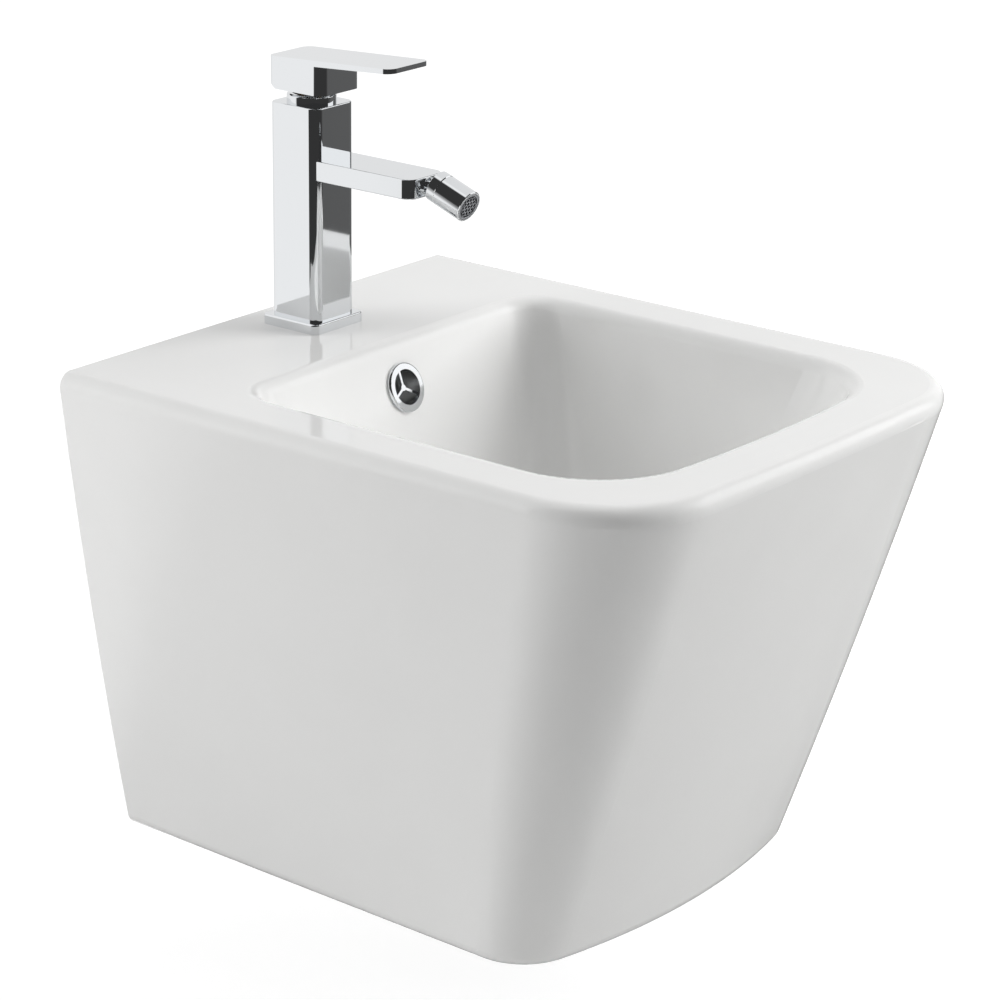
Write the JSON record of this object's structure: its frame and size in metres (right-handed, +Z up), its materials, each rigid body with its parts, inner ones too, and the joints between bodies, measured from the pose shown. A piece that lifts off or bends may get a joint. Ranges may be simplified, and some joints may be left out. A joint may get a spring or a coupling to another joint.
{
  "type": "wall-hung bidet",
  "caption": "Wall-hung bidet: a tapering, square-fronted glazed body with an open bowl, a square-column single-lever mixer with a swivelling nozzle, overflow and click waste.",
  "frame": {"origin": "midway between the two wall bolts, in the plane of the wall", "axes": "+Z up, +Y into the wall, the bowl comes forward along -Y"},
  "size_m": [0.363, 0.4271, 0.487],
  "materials": {
    "glaze": "glossy white glaze",
    "chrome": "polished chrome plate",
    "chrome_waste": "chrome plate on brass",
    "rubber": "black moulded rubber",
    "steel": "zinc plated",
    "brass": "machined",
    "white_plastic": "moulded",
    "grey_plastic": "moulded",
    "disc_ceramic": "lapped flat"
  },
  "bodies": {
    "bidet": {"ceramic_body": "glaze", "overflow_ring": "chrome", "tap_base": "chrome", "base_seal": "rubber", "tap_body": "chrome", "fixing_stud": "steel", "horseshoe_gasket": "rubber", "horseshoe_plate": "steel", "fixing_nut": "steel", "seat_seals": "rubber", "cartridge_shell": "white_plastic", "fixed_disc": "disc_ceramic", "cartridge_nut": "brass", "collar": "chrome", "waste_tube": "chrome_waste", "waste_gasket": "rubber", "cone_gasket": "rubber", "waste_nut": "white_plastic", "click_cartridge": "white_plastic", "wall_sleeves": "white_plastic"},
    "carrier_turn": {"carrier": "white_plastic", "pivot_pin": "steel"},
    "flow_disc": {"moving_disc": "disc_ceramic"},
    "lever": {"stem": "steel", "handle": "chrome", "handle_screw": "steel", "screw_cap": "white_plastic"},
    "ball": {"ball_stud": "brass"},
    "nozzle": {"nozzle_ring": "chrome", "nozzle_shell": "chrome", "ball_seal": "rubber", "aerator": "grey_plastic", "aerator_seal": "rubber"},
    "plug": {"waste_plug": "chrome", "plug_seal": "rubber"}
  },
  "joints": [
    {"name": "lever_turn", "type": "hinge", "parent": "bidet", "child": "carrier_turn", "pos_m": [0, -0.042, 0.2115], "axis": [0, 0, 1], "range_deg": [-45, 45]},
    {"name": "lever_lift", "type": "hinge", "parent": "carrier_turn", "child": "lever", "pos_m": [0, -0.042, 0.2115], "axis": [-1, 0, 0], "range_deg": [0, 24]},
    {"name": "flow_slide", "type": "slide", "parent": "carrier_turn", "child": "flow_disc", "axis": [0, -1, 0], "range_m": [0, 0.00489]},
    {"name": "nozzle_turn", "type": "hinge", "parent": "bidet", "child": "ball", "pos_m": [0, -0.146, 0.18275], "axis": [0, -1, 0], "range_deg": [-90, 90]},
    {"name": "nozzle_tilt", "type": "hinge", "parent": "ball", "child": "nozzle", "pos_m": [0, -0.146, 0.18275], "axis": [-1, 0, 0], "range_deg": [-5, 45]},
    {"name": "plug_lift", "type": "slide", "parent": "bidet", "child": "plug", "axis": [0, 0, 1], "range_m": [0, 0.008]}
  ],
  "couplings": [
    {"joint": "flow_slide", "follows": "lever_lift", "m_per_rad": 0.011672}
  ]
}
